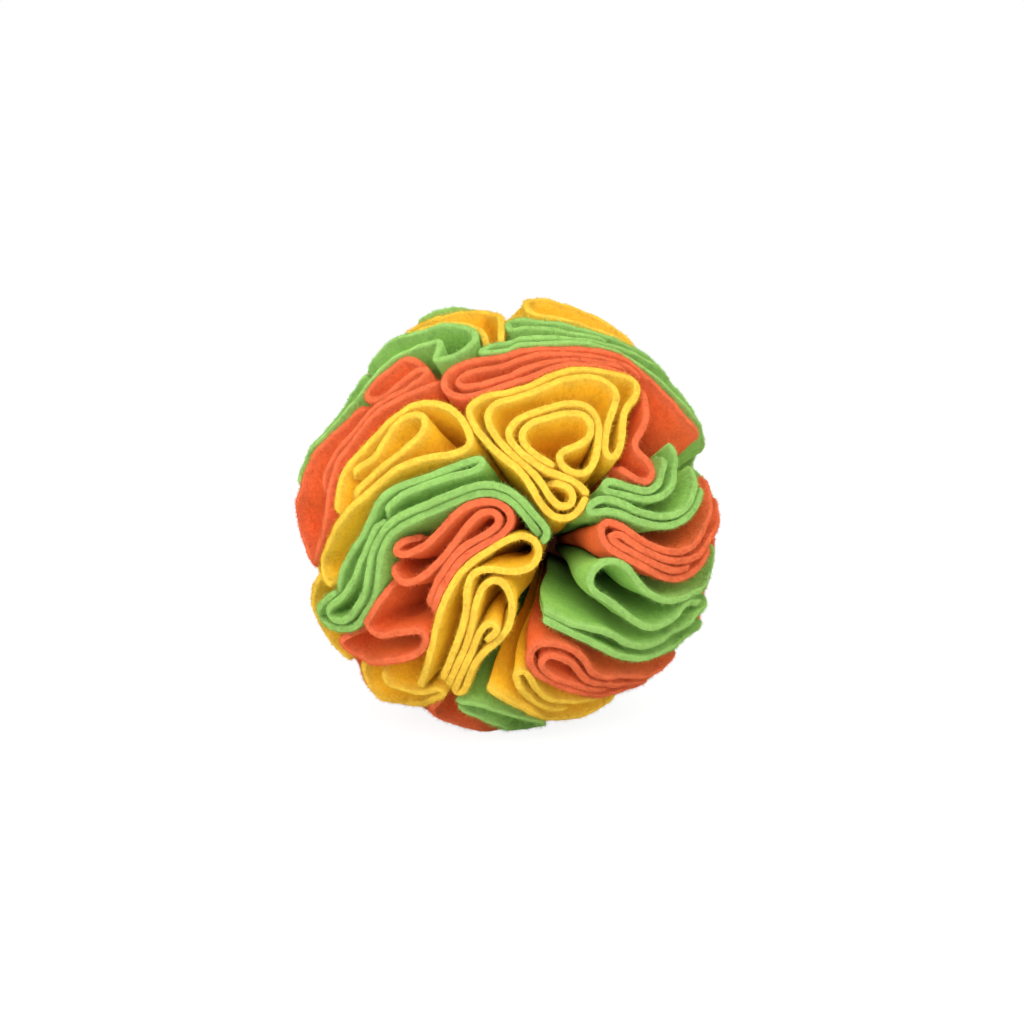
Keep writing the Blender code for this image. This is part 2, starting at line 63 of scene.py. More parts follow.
# Colours of each fleece: its face; its cut edge, paler, partly its own colour and partly painted highlight;
# # and painted shade: the face darker deep in the folds, and darker still next to the core
fleece_looks = {
    "yellow": (
        (1.0, 0.60, 0.028, 1.0), (0.97, 0.69, 0.085, 1.0),
        (1.0, 0.40, 0.008, 1.0), (0.75, 0.17, 0.004, 1.0),
    ),
    "green": (
        (0.28, 0.55, 0.10, 1.0), (0.37, 0.62, 0.17, 1.0),
        (0.08, 0.25, 0.02, 1.0), (0.02, 0.055, 0.008, 1.0),
    ),
    "orange": (
        (0.90, 0.165, 0.04, 1.0), (0.88, 0.21, 0.08, 1.0),
        (0.45, 0.045, 0.008, 1.0), (0.14, 0.012, 0.004, 1.0),
    ),
}

# Noises of the fleece: scale, detail and roughness. Each is mapped from the limits to its shades.
nap_noise = (1200.0, 4.0, 0.7)
tuft_noise = (850.0, 2.0, 0.6)
cloud_noise = (150.0, 3.0, 0.5)
noise_limits = (0.3, 0.7)
nap_shades = (0.93, 1.07)
tuft_shades = (0.92, 1.07)
cloud_shades = (0.92, 1.06)

# Depths below the rim: where the cut edge's paler colour, partly painted highlight, takes over, and where
# # the painted shade of the folds and of the core's hollow comes in
edge_highlight_fade = (0.0045, 0.0)
fold_shade_fade = (0.009, 0.034)
core_shade_fade = (0.028, 0.05)

# Surface of the fleece and of the core's felt; bumps by strength and distance
nap_roughness = (0.88, 1.0)
nap_height_share = 0.6
fleece_bump = (0.7, 0.0006)
fleece_surface = {
    "Diffuse Roughness": 1.0, "Specular IOR Level": 0.15, "Sheen Weight": 1.0, "Sheen Roughness": 0.5,
}
felt_noise = (1500.0, 4.0, 0.7)
# The felt's two colours are dark as painted shade of the hollow at the middle of the leaves
felt_shade_colours = ((0.14, 0.03, 0.012, 1.0), (0.24, 0.05, 0.02, 1.0))
felt_bump = (0.5, 0.0005)
felt_roughness = 0.95

# The core: points round it and down it, its bindings of thread, how these slant and how wide they are on
# a round of radius one, and the sizes of its felt, bindings and poles as shares of its radius
core_around = 96
core_down = 48
core_bindings = 6
binding_slants = (0.8, 0.6, 2.3)
binding_width = 0.05
felt_share = 0.94
binding_share = 0.05
pole_share = 0.93

# Studio: lamps with their place, size and power, light from all round, the floor and the camera
white = (1.0, 1.0, 1.0, 1.0)
lamps = {
    "key_lamp": ((0.1, -1.05, 1.1), 1.1, 10.0),
    "fill_lamp": ((-0.8, -1.1, 0.5), 0.9, 3.5),
}
world_strength = 0.92
floor_half = 6.0
floor_colour = (0.82, 0.82, 0.82, 1.0)
floor_roughness = 0.9
floor_glow = 1.2
floor_glow_share = 0.75
camera_sensor = 36.0
camera_clips = (0.01, 50.0)

# The front view in which the rims are drawn: pixels across and down of a square picture, seen from
# slightly above
view_image = 1024.0
view_distance = 0.9
view_height_degrees = 12.0
view_middle = (508.0, 516.0)
view_ball_radius = 215.0
gathering_point = (548.0, 540.0)

# Outline of the ball in that view: angle from the right in degrees, radius in pixels
outline = [
    (0, 211), (5, 208), (10, 204), (15, 194), (20, 208), (25, 213), (30, 214), (35, 212), (40, 210),
    (45, 212), (50, 213), (55, 216), (60, 218), (65, 219), (70, 219), (75, 221), (80, 221), (86, 218),
    (90, 206), (95, 206), (100, 210), (105, 217), (110, 219), (115, 213), (120, 211), (125, 212),
    (130, 207), (135, 202), (140, 199), (145, 197), (150, 199), (155, 203), (160, 209), (165, 211),
    (170, 214), (175, 214), (180, 211), (185, 208), (190, 204), (195, 203), (200, 211), (205, 217),
    (210, 218), (215, 219), (220, 217), (225, 213), (230, 222), (235, 225), (240, 217), (245, 211),
    (250, 213), (255, 216), (260, 218), (265, 219), (270, 215), (275, 214), (280, 212), (285, 211),
    (290, 215), (295, 213), (300, 211), (305, 212), (310, 217), (315, 219), (320, 219), (325, 215),
    (330, 223), (335, 218), (340, 213), (345, 212), (350, 212), (355, 210), (360, 211),
]

# Rims of the front leaves, each from one end of the folded edge to the other
rims = {
    "yellow_leaf_1": [
        (551, 479), (562, 483), (572, 488), (578, 496), (574, 504), (564, 507), (554, 503), (547, 492),
        (541, 480), (530, 466), (514, 453), (499, 439), (489, 424), (487, 412), (494, 404), (508, 400),
        (526, 395), (547, 387), (562, 379), (580, 376), (600, 378), (611, 384), (617, 394), (613, 408),
        (608, 424), (603, 440), (602, 453), (609, 460), (617, 455), (622, 441), (623, 424), (625, 409),
        (632, 401), (638, 391), (634, 381), (620, 374), (600, 369), (580, 368), (560, 371), (545, 379),
        (528, 387), (508, 392), (490, 396), (473, 402), (467, 411), (471, 424), (486, 441), (503, 456),
        (520, 469), (531, 483), (537, 498), (547, 512), (561, 519), (574, 515), (583, 509),
        (587.5, 500),
    ],
    "yellow_leaf_2": [
        (553, 466), (545, 462), (536, 457), (523, 448), (516, 439), (518, 429), (527, 424), (541, 421),
        (556, 416), (570, 412), (582, 413), (590, 421), (591, 432), (586, 442), (575, 447), (563, 450),
        (555, 457), (558, 466), (568, 472), (580, 474), (591, 469), (597, 457), (600, 443), (600, 427),
        (595, 413), (586, 405), (573, 402), (556, 405), (538, 411), (520, 418), (510, 425), (508, 436),
        (516, 449), (531, 461), (546, 470), (560, 474), (573, 479), (582, 484), (587, 492),
    ],
    "orange_leaf_1": [
        (630, 371), (615, 366), (598, 363), (580, 362), (563, 364), (548, 370), (530, 377), (510, 383),
        (490, 389), (472, 394), (458, 396), (447, 391), (442, 382), (447, 372), (460, 365), (480, 359),
        (502, 354), (526, 349), (552, 346), (578, 348), (602, 352), (626, 361), (646, 374), (666, 393),
        (684, 414), (698, 434),
    ],
    "orange_leaf_2": [
        (625, 365), (603, 359), (580, 356), (560, 357), (540, 363), (518, 371), (495, 378), (475, 384),
        (461, 388), (453, 384), (455, 377), (468, 371), (488, 367), (510, 361), (532, 355), (554, 352),
        (578, 353), (602, 356), (624, 363), (640, 372),
    ],
    "orange_leaf_3": [
        (643, 379), (646, 397), (648, 413), (643, 430), (635, 445), (642, 455), (651, 462), (655, 472),
        (650, 481), (638, 478), (627, 471), (621, 459),
    ],
    "green_leaf_1": [
        (697, 412), (690, 400), (680, 388), (668, 377), (655, 366), (640, 357), (618, 348), (592, 341),
        (562, 338), (534, 339), (506, 342), (488, 347), (478, 352), (490, 353), (508, 348), (534, 345),
        (560, 344), (590, 347), (616, 354), (640, 366), (660, 381), (679, 399), (692, 416), (702, 434),
        (705, 447),
    ],
    "green_leaf_2": [
        (604, 337.5), (590, 335.5), (562, 330), (540, 327), (526, 327), (514, 330), (506, 326),
        (508, 319), (524, 319.5), (548, 322), (576, 327.5), (602, 333.5), (624, 342.5), (642, 352),
        (656, 361),
    ],
    "yellow_leaf_3": [
        (632, 345), (617, 336), (597, 327.5), (574, 320.5), (552, 316), (536, 312), (527, 305),
        (531, 299), (549, 298), (570, 303), (590, 311), (606, 320), (621, 331), (634, 342),
    ],
    "yellow_leaf_4": [
        (484, 340), (481, 331), (473, 325), (460, 321), (445, 322), (432, 326), (420, 330), (410, 334),
        (410, 328), (421, 323), (435, 318), (448, 314.5), (462, 312), (482, 311), (500, 315),
        (503, 326), (500, 338),
    ],
    "green_leaf_3": [
        (418, 319), (430, 312.5), (444, 308.5), (458, 306), (473, 305.5), (488, 307), (472, 300),
        (450, 300), (430, 306),
    ],
    "green_leaf_4": [
        (301, 482), (305, 462), (317, 443), (333, 424), (349, 405), (365, 389), (380, 370), (398, 355),
        (416, 347), (430, 342), (440, 341), (443.5, 346), (437, 350.5), (433, 357), (438, 363),
        (448, 359), (459, 352), (470, 345), (477, 341), (477, 334), (466, 328), (450, 324), (434, 326),
        (414, 332), (396, 341), (380, 353.5), (368, 368),
    ],
    "green_leaf_5": [
        (363.5, 374), (353, 387), (341, 401), (327, 418), (312, 438), (300, 461),
    ],
    "orange_leaf_4": [
        (321, 500), (324, 486), (325, 473), (331, 457), (347, 440), (361, 420), (377, 404),
        (396, 393.5), (412, 386), (425, 378), (431, 371), (421, 367), (409, 375), (396, 386),
        (385, 394), (372, 399), (364, 394), (376, 381), (392, 368), (408, 358), (418, 357), (421, 362),
    ],
    "orange_leaf_5": [
        (438, 372), (436, 381), (424, 387), (406, 393), (388, 402), (372, 414), (358, 432), (345, 449),
        (335, 464), (332, 480), (328, 497), (325, 515), (318, 540), (313, 563), (303, 540), (297, 515),
        (301, 487), (309, 463), (323, 444), (341, 426), (355, 410), (363, 402),
    ],
    "yellow_leaf_5": [
        (328, 584), (324, 575), (321, 564), (324, 552), (329, 540), (341, 518), (360, 499), (382, 480),
        (402, 465), (430, 457), (455, 452), (470, 449), (473, 440), (468, 427), (457, 414), (443, 405),
        (428, 402), (412, 405), (393, 419), (376, 435), (357, 456), (345, 472), (338, 495), (335, 515),
    ],
    "yellow_leaf_6": [
        (350, 501), (358, 488), (378, 469), (398, 452), (414, 439), (427, 428), (424, 418), (414, 412),
        (402, 416), (390, 428), (382, 440), (377, 455), (362, 463), (348, 472),
    ],
    "yellow_leaf_7": [
        (315, 578), (312, 598), (314, 612), (321, 631), (332, 647), (346, 659), (335, 655), (321, 642),
        (310, 624), (305, 602), (306, 588),
    ],
    "green_leaf_6": [
        (337, 590), (341, 579), (340.5, 567), (350, 551), (365, 529), (375, 506), (388, 491),
        (412, 481), (435, 474), (458, 464), (478, 459), (487, 461), (485, 469), (474, 469), (458, 472),
        (438, 480.5), (417, 488), (399, 495), (388, 503), (382, 514),
    ],
    "green_leaf_7": [
        (543, 541), (548, 540.5), (551.5, 536), (548, 530), (540, 522), (528, 508), (514, 494),
        (498, 487), (478, 486), (458, 492), (438, 501), (418, 509), (400, 516), (387, 527), (377, 541),
        (370, 556), (368.5, 573), (365, 590), (358, 606), (350, 617), (340, 621), (330, 618),
        (325.5, 611), (336, 603), (347, 592), (355, 577), (361, 560), (369, 542), (375, 529),
        (378, 522),
    ],
    "green_leaf_8": [
        (331, 594.5), (324, 600), (318, 608), (320, 618), (329, 627), (342, 631), (355, 627),
        (365, 612), (373, 594), (378, 577), (377, 560), (384, 543), (395, 528), (412, 519), (434, 510),
        (456, 500), (476, 494), (495, 494), (510, 501), (524, 515), (538, 533),
    ],
    "orange_leaf_6": [
        (404, 537.5), (394, 541), (390.5, 549), (394, 556), (404, 555), (418, 549), (433, 538),
        (445, 524), (458, 512), (474, 503), (490, 500), (504, 505), (510, 517), (508, 530), (496, 540),
        (480, 547), (464, 558), (453, 571), (443, 587), (436, 604), (431, 620),
    ],
    "orange_leaf_7": [
        (424, 614), (430, 599), (438, 583), (448, 567), (460, 551), (474, 539), (490, 532), (500, 525),
        (502, 514), (495, 507), (482, 510), (470, 522), (459, 536), (448, 550), (436, 564), (422, 576),
        (407, 584), (395, 580), (387, 571), (384, 562),
    ],
    "orange_leaf_8": [
        (386, 580), (381, 597), (373.5, 612), (365, 627), (373, 634.5), (391, 633), (408, 633),
        (422, 629), (430, 635), (425, 650), (405, 658), (380, 662), (361, 658), (348, 650), (340, 640),
        (346, 634),
    ],
    "yellow_leaf_8": [
        (421, 692), (425, 672), (429, 648), (434, 624), (440, 603), (448, 585), (459, 570), (476, 557),
        (495, 546), (508, 538), (524, 535), (536, 541), (540, 554), (534, 566), (520, 572), (500, 571),
        (480, 569), (470, 577), (467, 590), (467, 606), (463, 625), (456, 645), (448, 666), (440, 688),
    ],
    "yellow_leaf_9": [
        (447, 692), (456, 672), (464, 651), (470, 632), (474, 612), (477, 597), (484, 585), (494, 580),
        (504, 585), (511, 597), (512, 612), (506, 628), (497, 641), (486, 651), (476, 662), (468, 675),
        (461, 688), (453, 694), (458, 680), (466, 664), (473, 648), (478, 634), (485, 624), (494, 621),
        (500, 627), (496, 635), (487, 641),
    ],
    "yellow_leaf_10": [
        (362, 665), (365, 677), (372, 689), (385, 698), (402, 704), (420, 704.5), (434, 701),
        (446, 692), (434, 690), (418, 693), (400, 690), (384, 682), (376, 672),
    ],
    "green_leaf_9": [
        (672, 444), (676, 453), (676, 470), (673, 486), (662, 496), (645, 499), (628, 495), (612, 488),
        (600, 487), (606, 481), (620, 483), (635, 489), (650, 490), (660, 483), (665, 468), (668, 452),
    ],
    "green_leaf_10": [
        (692, 468), (696, 480), (692, 497), (684, 510), (668, 516), (648, 514), (628, 507), (612, 500),
        (600, 498), (590, 504), (588, 515), (598, 509), (610, 510), (625, 516), (645, 523), (665, 526),
        (682, 521), (694, 508), (703, 490),
    ],
    "orange_leaf_9": [
        (705, 478), (710, 492), (712, 510), (706, 530), (695, 545), (680, 552), (660, 549), (640, 541),
        (625, 530), (612, 521), (602, 524), (603, 536), (612, 548), (630, 558), (650, 569), (672, 579),
        (692, 574), (705, 560), (710, 545),
    ],
    "orange_leaf_10": [
        (716, 500), (717, 520), (712, 538), (703, 553), (688, 560), (668, 560), (648, 552), (632, 543),
        (620, 534), (612, 531), (613, 541), (625, 550), (642, 558), (660, 567), (677, 571), (690, 566),
    ],
    "green_leaf_11": [
        (717, 548), (714, 570), (706, 586), (688, 597), (672, 602), (655, 597), (640, 584), (628, 568),
        (616, 560), (602, 563), (592, 574), (590, 588), (602, 596), (618, 608), (635, 622), (655, 629),
        (674, 620), (686, 606), (702, 603),
    ],
    "green_leaf_12": [
        (709, 600), (696, 617), (680, 631), (664, 641), (646, 648), (628, 645), (612, 635), (594, 630),
        (572, 625), (552, 618), (547, 613),
    ],
    "green_leaf_13": [
        (547, 621), (562, 629), (582, 639), (604, 649), (626, 658), (648, 659), (670, 650), (688, 636),
        (701, 624),
    ],
    "orange_leaf_11": [
        (676, 657), (664, 669), (648, 676), (625, 677), (603, 678), (592, 674), (586, 662), (574, 653),
        (560, 646), (546, 643), (532, 650), (530, 664), (540, 677), (556, 686), (576, 692), (598, 697),
        (622, 690), (645, 683),
    ],
    "orange_leaf_12": [
        (645, 681), (630, 684), (608, 685), (594, 684), (582, 678), (576, 668), (564, 660), (550, 655),
        (541, 660), (544, 671), (556, 679), (572, 685), (588, 690), (607, 691),
    ],
    "yellow_leaf_11": [
        (489, 690), (505, 699), (528, 710), (552, 719), (576, 716), (598, 707), (612, 697),
    ],
    "yellow_leaf_12": [
        (600, 701), (578, 705), (556, 703), (540, 695), (530, 682), (524, 671), (516, 674), (519, 688),
        (530, 702), (547, 711), (565, 712),
    ],
    "green_leaf_14": [
        (458, 703), (470, 702), (486, 708), (506, 714), (526, 719), (542, 721), (534, 727), (514, 729),
        (494, 723), (474, 715), (460, 709),
    ],
    "orange_leaf_13": [
        (433, 704), (431, 709), (440, 717), (456, 724), (476, 730), (498, 733), (515, 733),
    ],
}

# Leaves of the back, in rings round the middle of the back. Each ring has the angle where it
# starts and ends from that middle (None: where the front leaves begin), its number of leaves,
# the folds of each leaf, whether they run round the ring, and the angle of its first leaf.
back_rings = [
    (15.0, 47.0, 5, 6, False, 20.0),
    (50.0, None, 10, 7, True, 0.0),
]
back_colours = ["orange", "green", "yellow", "orange", "yellow", "green", "orange", "yellow"]
fold_spread = 0.0055
fold_places = (0.0, 0.5, 1.0)
block_middle_degrees = 20.0
fold_bow_share = 0.5
fold_unevenness_share = 0.18
back_margin = 0.004
border_window_degrees = 9.0
drift_share = 0.12
drift_waves = 6.0
drift_phases = (1.4, 3.1, 0.5)
curl_start_degrees = 2.5
curl_end_degrees = 12.5
curl_points = 18
curl_turns = 2.3

# Share of the view's ball radius past which a rim is drawn over the edge of the ball,
# and the turn over the edge for a share of the radius more
edge_share = 0.97
edge_degrees = 25.0
edge_spread_share = 0.06

# Width of the dent at the gathering point, in radians
dent_width = 0.22

# Size of the back leaves on the ball, so that none shows past the front ones
back_size_share = 0.985

# Spacing of the layers: steps, the first of them held near the drawn rims, steps between two
# searches for neighbours, and shares of the pitch within which layers count as neighbours or as one
spacing_steps = 200
anchored_steps = 60
search_steps = 8
anchor_share = 0.02
push_share = 0.56
neighbour_share = 2.2
same_layer_share = 1.45
overshoot_share = 1.02
least_distance_share = 0.01

# Halvings of a distance search, passes of the outline search
halvings = 30
outline_passes = 6

# Settling of the smooth rims: steps, the share of the pitch within which neighbours are searched, the
# rims' stiffness against bending, and the last steps without it
settling_steps = 120
search_share = 2.0
stiffness = 0.16
free_steps = 24

# Depth of each row of points down a leaf, as shares of the way from the rim to the core,
# and the cloth's width in each row, as shares of its thickness
row_shares = (0.012, 0.024, 0.042, 0.07, 0.11, 0.165, 0.24, 0.34, 0.47, 0.66, 1.0)
row_width_shares = (1.06, 1.04, 1.0, 0.97, 0.97, 0.98, 1.0, 1.0, 1.0, 1.0, 1.0)
edge_points = 6
edge_round_share = 0.7
edge_squareness = 0.62
end_turns_degrees = (35.0, 65.0, 88.0)

# Unevenness of the cloth: height of its rims, ripples of rim and thickness, the longest wave of each kind
# and the shorter ones as shares of it, and the warp of the faces by waves to the metre and their phase
rim_lift = 0.0006
rim_lift_spread = 0.8
rim_lift_ripple = 0.7
rim_ripple = 0.00008
thickness_ripple = 0.05
lift_wave = 0.05
top_wave = 0.009
side_wave = 0.008
thickness_wave = 0.012
wave_shares = (1.0, 0.61, 0.37, 0.22)
face_warp = 0.0016
warp_depth = 0.012
warp_waves = ((95.0, 40.0, 0.4), (70.0, 120.0, 2.0), (110.0, 65.0, 4.1))
warp_phase_share = 1.7

# Height of a direction, as a share of its length, below which the floor holds the cloth up
falling_height = -0.05

# Seeds of the random draws: of the back's folds, and the factor in that of each leaf
wobble_seed = 7
seed_factor = 131

# Ends of rims that sink between their neighbours: how far the start does, and how far the end does
sunk_end_shares = {
    "yellow_leaf_1": (0.4, 0.0),
    "yellow_leaf_4": (0.6, 0.6),
    "yellow_leaf_5": (0.0, 0.3),
    "yellow_leaf_6": (0.5, 0.2),
    "yellow_leaf_8": (0.6, 1.0),
    "yellow_leaf_9": (0.6, 0.0),
    "yellow_leaf_10": (0.0, 0.6),
    "green_leaf_6": (0.0, 0.3),
    "green_leaf_7": (0.0, 0.3),
    "green_leaf_9": (0.0, 0.6),
    "orange_leaf_3": (1.0, 1.0),
    "orange_leaf_4": (1.0, 1.0),
    "orange_leaf_5": (1.0, 0.3),
    "orange_leaf_6": (1.0, 0.8),
    "orange_leaf_7": (0.8, 1.0),
    "orange_leaf_8": (1.5, 1.0),
    "orange_leaf_13": (0.3, 0.0),
}

# Drop of a rim's end that sinks by a share of one, and of one that is only a rounded corner
sunk_depth = 0.007
sunk_length = 0.009
corner_depth = 0.0005
corner_length = 0.0008

# Pace of the nap's noise along the way to the gathering, as a share: the lower, the longer its streaks
combed_share = 0.35

# Nap: fine fibres that stand up from the cut edge and the upper faces, in numbers to the square metre, and
# how deep they grow. Their length and radius, how they lean, least rise off the cloth, and a power that
# makes most of them short. Least area of a face, against a division by zero.
edge_nap = 6.0e6
face_nap = 1.8e6
nap_depth = 0.012
nap_edge_depth = 0.0016
nap_shortest = 0.0004
nap_longest = 0.0021
nap_radius = 0.00006
nap_lean = 0.5
nap_least_rise = 0.25
nap_shortness = 2.5
least_area = 1e-12

view_height = math.radians(view_height_degrees)
to_right = np.array([1.0, 0.0, 0.0])
to_top = np.array([0.0, math.sin(view_height), math.cos(view_height)])
to_viewer = np.array([0.0, -math.cos(view_height), math.sin(view_height)])
edge_slope = ball_radius / math.sqrt(view_distance ** 2 - ball_radius ** 2)
pixel = ball_radius / view_ball_radius
ball_middle = np.array([0.0, 0.0, ball_radius - floor_settling])
gathering = (
    ball_middle
    + to_right * (gathering_point[0] - view_middle[0]) * pixel
    - to_top * (gathering_point[1] - view_middle[1]) * pixel
)


def unit(vectors):
    """Scale each row to length one."""
    return vectors / np.linalg.norm(vectors, axis=-1, keepdims=True)


def ball_share(directions):
    """Distance of the ball's surface from its middle, as a share of the ball radius."""
    across = directions @ to_right
    upward = directions @ to_top
    angle = np.degrees(np.arctan2(upward, across)) % 360.0
    angles, radii = np.array(outline, float).T
    swelling = np.interp(angle, angles, radii) / view_ball_radius - 1.0
    sideways = np.clip(across ** 2 + upward ** 2, 0.0, 1.0)
    offset = gathering - ball_middle
    dent = unit(offset + to_viewer * math.sqrt(ball_radius ** 2 - offset @ offset))
    turn = np.arccos(np.clip(directions @ dent, -1.0, 1.0))
    depth = dent_depth / ball_radius * np.exp(-((turn / dent_width) ** 2))
    return (1.0 + swelling * sideways ** 2) * (1.0 - depth)


def view_directions(points, share):
    """Directions from the ball's middle to the points drawn in the view, on a ball of that share."""
    across = (points[:, 0] - view_middle[0]) / view_ball_radius
    upward = (view_middle[1] - points[:, 1]) / view_ball_radius
    radius = np.hypot(across, upward) / share
    slope = np.arctan(np.minimum(radius, edge_share) * edge_slope)
    turn = np.arcsin(np.clip(np.sin(slope) * view_distance / ball_radius, -1.0, 1.0)) - slope
    beyond = np.clip(radius - edge_share, 0.0, None)
    turn = turn + beyond * math.radians(edge_degrees) / edge_spread_share
    angle = np.arctan2(upward, across)
    return (
        np.outer(np.sin(turn) * np.cos(angle), to_right)
        + np.outer(np.sin(turn) * np.sin(angle), to_top)
        + np.outer(np.cos(turn), to_viewer)
    )


def on_ball(points):
    """Directions from the ball's middle at which the drawn points meet its uneven surface."""
    points = np.array(points, float)
    share = np.ones(len(points))
    for _ in range(outline_passes):
        directions = view_directions(points, share)
        share = (share + ball_share(directions)) / 2.0
    return directions


def from_gathering(directions):
    """The same surface points as directions from the gathering point of the cloth."""
    surface = ball_middle + directions * (ball_radius * ball_share(directions))[:, None]
    return unit(surface - gathering)


def reach(directions, size_share=1.0):
    """Distance from the gathering point to the surface of a ball of that share, or to the floor."""
    near = np.zeros(len(directions))
    far = np.full(len(directions), 2.0 * ball_radius)
    for _ in range(halvings):
        middle = (near + far) / 2.0
        offset = gathering + middle[:, None] * directions - ball_middle
        distance = np.linalg.norm(offset, axis=1)
        inside = distance < size_share * ball_radius * ball_share(offset / distance[:, None])
        near = np.where(inside, middle, near)
        far = np.where(inside, far, middle)
    falling = directions[:, 2] < 0.0
    floor = np.where(falling, -gathering[2] / np.where(falling, directions[:, 2], -1.0), np.inf)
    return np.minimum((near + far) / 2.0, floor)


def nearest(points, starts, ends):
    """Share along each segment of the place nearest to each point."""
    along = ends - starts
    share = np.sum((points - starts) * along, axis=-1) / np.sum(along * along, axis=-1)
    return np.clip(share, 0.0, 1.0)


def filled_in(line, longest=longest_step):
    """Add points along the steps of a rim that are too long to follow the ball."""
    pieces = []
    for start, end in zip(line[:-1], line[1:]):
        count = math.ceil(ball_radius * np.linalg.norm(end - start) / longest)
        share = np.arange(count)[:, None] / count
        pieces.append(start + share * (end - start))
    pieces.append(line[-1:])
    return unit(np.concatenate(pieces))


def back_directions(turn, angle):
    """Directions from the ball's middle: turn from the middle of the back, angle round it."""
    directions = (
        np.outer(np.cos(turn), -to_viewer)
        + np.outer(np.sin(turn) * np.cos(angle), to_right)
        + np.outer(np.sin(turn) * np.sin(angle), to_top)
    )
    drift = np.sin(drift_waves * np.roll(directions, 1, axis=1) + np.array(drift_phases))
    fade = np.clip(np.cos(turn), 0.0, 1.0)
    return unit(directions + drift_share * fade[:, None] * drift)


def front_border(lines):
    """How far from the middle of the back the front leaves begin, at each degree round it."""
    spots = np.concatenate([filled_in(line, border_step) for line in lines])
    spots = unit(gathering + spots * reach(spots)[:, None] - ball_middle)
    angle = np.degrees(np.arctan2(spots @ to_top, spots @ to_right)) % 360.0
    turn = np.arccos(spots @ -to_viewer)
    border = np.full(360, math.pi)
    for degree in range(360):
        near = abs((angle - degree + 180.0) % 360.0 - 180.0) < border_window_degrees
        border[degree] = turn[near].min() - back_margin / ball_radius
    return border


def at_angle(edge, angle):
    """The edge of a ring at an angle round the middle of the back."""
    return np.interp(np.degrees(angle) % 360.0, np.arange(len(edge)), edge)


def folded_block(inner, outer, start, end, folds, around, wobble):
    """A rim folded to and fro over one block of a ring; inner and outer are its edges at each degree."""
    across = []
    along = []
    for fold in range(folds):
        row = fold / (folds - 1.0)
        places = np.array(fold_places)
        bow = fold_bow_share / folds * np.sin(math.pi * places)
        bow = bow + fold_unevenness_share / folds * wobble.uniform(-1.0, 1.0, len(places))
        if fold % 2 == 1:
            places = places[::-1]
        across.extend(row + bow * (0.0 < row < 1.0))
        along.extend(places)
    across = np.array(across)
    along = np.array(along)
    round_share, out_share = (along, across) if around else (across, along)
    angle = start + round_share * (end - start)
    low = at_angle(inner, angle)
    turn = low + out_share * (at_angle(outer, angle) - low)
    return back_directions(turn, angle)


def back_lines(front):
    """Rims of the back leaves: rings of folded blocks round one curled leaf."""
    border = front_border(front)
    border = np.append(border, border[:1])
    counts = {colour: sum(name.startswith(colour) for name in rims) for colour in fleece_looks}
    wobble = np.random.default_rng(wobble_seed)
    shapes = []
    for inner, outer, leaves, folds, around, first in back_rings:
        low = np.full(len(border), math.radians(inner))
        high = border if outer is None else np.full(len(border), math.radians(outer))
        middle_turn = math.radians(inner + block_middle_degrees)
        inset = fold_spread / (2.0 * ball_radius * math.sin(middle_turn))
        for leaf in range(leaves):
            start = math.radians(first + 360.0 * leaf / leaves) + inset
            end = math.radians(first + 360.0 * (leaf + 1) / leaves) - inset
            flipped = around if leaf % 2 == 0 else not around
            shapes.append(folded_block(low, high, start, end, folds, flipped, wobble))
    share = np.linspace(0.0, 1.0, curl_points)
    turn = np.radians(curl_start_degrees + share * (curl_end_degrees - curl_start_degrees))
    shapes.append(back_directions(turn, 2.0 * math.pi * curl_turns * share))
    lines = {}
    for index, shape in enumerate(shapes):
        colour = back_colours[index % len(back_colours)]
        counts[colour] += 1
        lines[f"{colour}_leaf_{counts[colour]}"] = filled_in(from_gathering(shape))
    return lines


def rim_lines():
    """All rims, front and back, as directions from the gathering point."""
    lines = {}
    for name, points in rims.items():
        lines[name] = filled_in(from_gathering(on_ball(points)))
    lines.update(back_lines(list(lines.values())))
    return lines


def pushed_apart(places, point, start, share, push):
    """Places moved by the pushes between points and the segments opposite them, as a mean at each place."""
    move = np.zeros_like(places)
    weight = np.zeros(len(places))
    whole = np.ones(len(share))
    for index, part, sign in ((point, whole, 1.0), (start, 1.0 - share, -1.0), (start + 1, share, -1.0)):
        np.add.at(move, index, sign * push * part[:, None])
        np.add.at(weight, index, part)
    return places + push_share * move / np.maximum(weight, 1.0)[:, None]


def spaced(lines, layer_pitch):
    """Move the rims apart along the ball, for all steps or until no two layers are closer than the pitch."""
    counts = [len(line) for line in lines]
    spots = np.concatenate(lines)
    drawn = spots.copy()
    owner = np.repeat(np.arange(len(lines)), counts)
    step = np.linalg.norm(np.diff(spots, axis=0), axis=1)
    travel = np.concatenate([[0.0], np.cumsum(step)])
    first = np.nonzero(owner[:-1] == owner[1:])[0]
    for turn in range(spacing_steps):
        if turn % search_steps == 0:
            wanted = layer_pitch / reach(spots)
            pitch = wanted.max()
            middle = (spots[first] + spots[first + 1]) / 2.0
            half = np.linalg.norm(spots[first + 1] - spots[first], axis=1) / 2.0
            apart = np.linalg.norm(spots[:, None] - middle[None], axis=2)
            point, segment = np.nonzero(apart < half[None] + neighbour_share * pitch)
            start = first[segment]
            detour = np.minimum(abs(travel[point] - travel[start]), abs(travel[point] - travel[start + 1]))
            touching = (point == start) | (point == start + 1) | (detour < same_layer_share * pitch)
            free = (owner[point] != owner[start]) | ~touching
            point = point[free]
            start = start[free]
        share = nearest(spots[point], spots[start], spots[start + 1])
        opposite = spots[start] + share[:, None] * (spots[start + 1] - spots[start])
        gap = spots[point] - unit(opposite)
        distance = np.maximum(np.linalg.norm(gap, axis=1), least_distance_share * pitch)
        pitches = wanted[point]
        close = distance < pitches
        if not close.any():
            break
        share = share[close]
        wanting = overshoot_share * pitches[close] - distance[close]
        push = gap[close] * (wanting / distance[close])[:, None]
        spots = pushed_apart(spots, point[close], start[close], share, push)
        if turn < anchored_steps:
            spots = spots + anchor_share * (drawn - spots)
        spots = unit(spots)
    return np.split(spots, np.cumsum(counts)[:-1])


